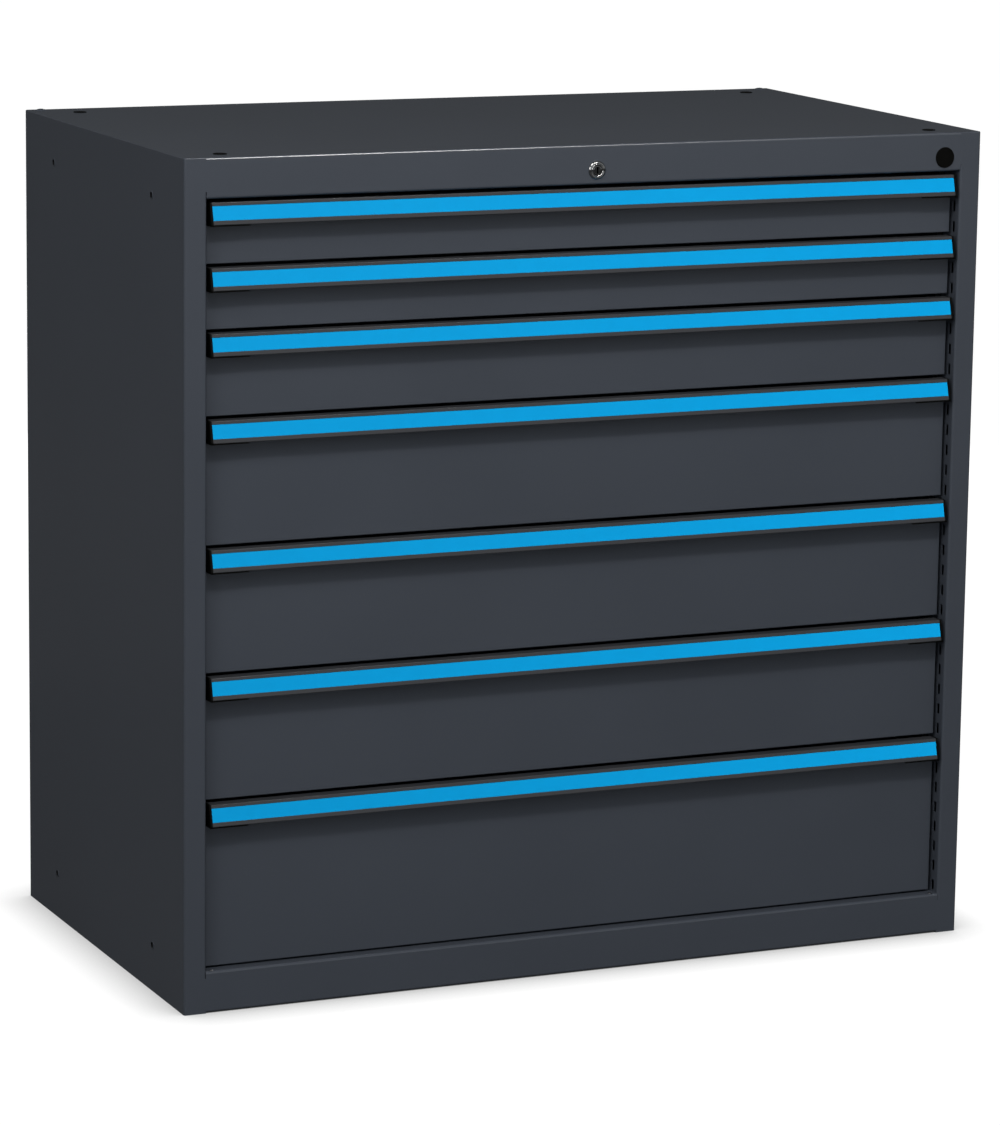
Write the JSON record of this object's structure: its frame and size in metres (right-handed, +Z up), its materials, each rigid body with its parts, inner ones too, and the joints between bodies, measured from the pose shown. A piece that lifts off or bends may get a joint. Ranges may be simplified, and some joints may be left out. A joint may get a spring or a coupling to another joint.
{
  "type": "multi-drawer cabinet",
  "caption": "Low wide steel drawer cabinet with full-width grip rails, roller slides and a central lock.",
  "frame": {"origin": "centre of the bounding box on the floor", "axes": "+Z up, front with the drawers towards -Y, +X along the width, to the right as seen from the front"},
  "size_m": [1.0238, 0.575, 1.002],
  "materials": {
    "housing_paint": "satin anthracite powder coat",
    "front_paint": "satin anthracite powder coat",
    "tray_paint": "satin anthracite powder coat",
    "grip_aluminium": "dark grey coated extrusion, satin",
    "label_blue": "blue strip under a clear cover",
    "black_plastic": "matt black moulding",
    "slide_steel": "zinc plated",
    "insert_steel": "zinc plated",
    "lock_chrome": "bright nickel"
  },
  "bodies": {
    "root": {"left_side_panel": "housing_paint", "right_side_panel": "housing_paint", "top_panel": "housing_paint", "base_panel": "housing_paint", "back_panel": "housing_paint", "rear_uprights": "housing_paint", "left_runners": "slide_steel", "right_runners": "slide_steel", "side_inserts": "housing_paint", "top_plugs": "black_plastic", "rear_screws": "housing_paint", "sill_screws": "insert_steel", "blanking_plug": "black_plastic", "lock_cylinder": "lock_chrome", "lock_guides": "black_plastic"},
    "lock_rotor": {"lock_core": "lock_chrome", "lock_cam": "slide_steel"},
    "lock_bar": {"lock_bar": "slide_steel"},
    "drawer_1": {"drawer_1_tray": "tray_paint", "drawer_1_front": "front_paint", "drawer_1_grip": "grip_aluminium", "drawer_1_label": "label_blue", "drawer_1_caps": "black_plastic"},
    "drawer_1_middle": {"drawer_1_carriages": "slide_steel"},
    "drawer_2": {"drawer_2_tray": "tray_paint", "drawer_2_front": "front_paint", "drawer_2_grip": "grip_aluminium", "drawer_2_label": "label_blue", "drawer_2_caps": "black_plastic"},
    "drawer_2_middle": {"drawer_2_carriages": "slide_steel"},
    "drawer_3": {"drawer_3_tray": "tray_paint", "drawer_3_front": "front_paint", "drawer_3_grip": "grip_aluminium", "drawer_3_label": "label_blue", "drawer_3_caps": "black_plastic"},
    "drawer_3_middle": {"drawer_3_carriages": "slide_steel"},
    "drawer_4": {"drawer_4_tray": "tray_paint", "drawer_4_front": "front_paint", "drawer_4_grip": "grip_aluminium", "drawer_4_label": "label_blue", "drawer_4_caps": "black_plastic"},
    "drawer_4_middle": {"drawer_4_carriages": "slide_steel"},
    "drawer_5": {"drawer_5_tray": "tray_paint", "drawer_5_front": "front_paint", "drawer_5_grip": "grip_aluminium", "drawer_5_label": "label_blue", "drawer_5_caps": "black_plastic"},
    "drawer_5_middle": {"drawer_5_carriages": "slide_steel"},
    "drawer_6": {"drawer_6_tray": "tray_paint", "drawer_6_front": "front_paint", "drawer_6_grip": "grip_aluminium", "drawer_6_label": "label_blue", "drawer_6_caps": "black_plastic"},
    "drawer_6_middle": {"drawer_6_carriages": "slide_steel"},
    "drawer_7": {"drawer_7_tray": "tray_paint", "drawer_7_front": "front_paint", "drawer_7_grip": "grip_aluminium", "drawer_7_label": "label_blue", "drawer_7_caps": "black_plastic"},
    "drawer_7_middle": {"drawer_7_carriages": "slide_steel"}
  },
  "joints": [
    {"name": "lock_bar_lift", "type": "slide", "parent": "root", "child": "lock_bar", "axis": [0, 0, 1], "range_m": [0, 0.012]},
    {"name": "lock_turn", "type": "hinge", "parent": "root", "child": "lock_rotor", "pos_m": [0, -0.2845, 0.97], "axis": [0, 1, 0], "range_deg": [0, 90]},
    {"name": "drawer_1_slide", "type": "slide", "parent": "root", "child": "drawer_1", "axis": [0, -1, 0], "range_m": [0, 0.46]},
    {"name": "drawer_1_middle_slide", "type": "slide", "parent": "root", "child": "drawer_1_middle", "axis": [0, -1, 0], "range_m": [0, 0.23]},
    {"name": "drawer_2_slide", "type": "slide", "parent": "root", "child": "drawer_2", "axis": [0, -1, 0], "range_m": [0, 0.46]},
    {"name": "drawer_2_middle_slide", "type": "slide", "parent": "root", "child": "drawer_2_middle", "axis": [0, -1, 0], "range_m": [0, 0.23]},
    {"name": "drawer_3_slide", "type": "slide", "parent": "root", "child": "drawer_3", "axis": [0, -1, 0], "range_m": [0, 0.46]},
    {"name": "drawer_3_middle_slide", "type": "slide", "parent": "root", "child": "drawer_3_middle", "axis": [0, -1, 0], "range_m": [0, 0.23]},
    {"name": "drawer_4_slide", "type": "slide", "parent": "root", "child": "drawer_4", "axis": [0, -1, 0], "range_m": [0, 0.46]},
    {"name": "drawer_4_middle_slide", "type": "slide", "parent": "root", "child": "drawer_4_middle", "axis": [0, -1, 0], "range_m": [0, 0.23]},
    {"name": "drawer_5_slide", "type": "slide", "parent": "root", "child": "drawer_5", "axis": [0, -1, 0], "range_m": [0, 0.46]},
    {"name": "drawer_5_middle_slide", "type": "slide", "parent": "root", "child": "drawer_5_middle", "axis": [0, -1, 0], "range_m": [0, 0.23]},
    {"name": "drawer_6_slide", "type": "slide", "parent": "root", "child": "drawer_6", "axis": [0, -1, 0], "range_m": [0, 0.46]},
    {"name": "drawer_6_middle_slide", "type": "slide", "parent": "root", "child": "drawer_6_middle", "axis": [0, -1, 0], "range_m": [0, 0.23]},
    {"name": "drawer_7_slide", "type": "slide", "parent": "root", "child": "drawer_7", "axis": [0, -1, 0], "range_m": [0, 0.46]},
    {"name": "drawer_7_middle_slide", "type": "slide", "parent": "root", "child": "drawer_7_middle", "axis": [0, -1, 0], "range_m": [0, 0.23]}
  ],
  "couplings": [
    {"joint": "lock_turn", "follows": "lock_bar_lift", "rad_per_m": 130.89},
    {"joint": "drawer_1_middle_slide", "follows": "drawer_1_slide", "ratio": 0.5},
    {"joint": "drawer_2_middle_slide", "follows": "drawer_2_slide", "ratio": 0.5},
    {"joint": "drawer_3_middle_slide", "follows": "drawer_3_slide", "ratio": 0.5},
    {"joint": "drawer_4_middle_slide", "follows": "drawer_4_slide", "ratio": 0.5},
    {"joint": "drawer_5_middle_slide", "follows": "drawer_5_slide", "ratio": 0.5},
    {"joint": "drawer_6_middle_slide", "follows": "drawer_6_slide", "ratio": 0.5},
    {"joint": "drawer_7_middle_slide", "follows": "drawer_7_slide", "ratio": 0.5}
  ]
}
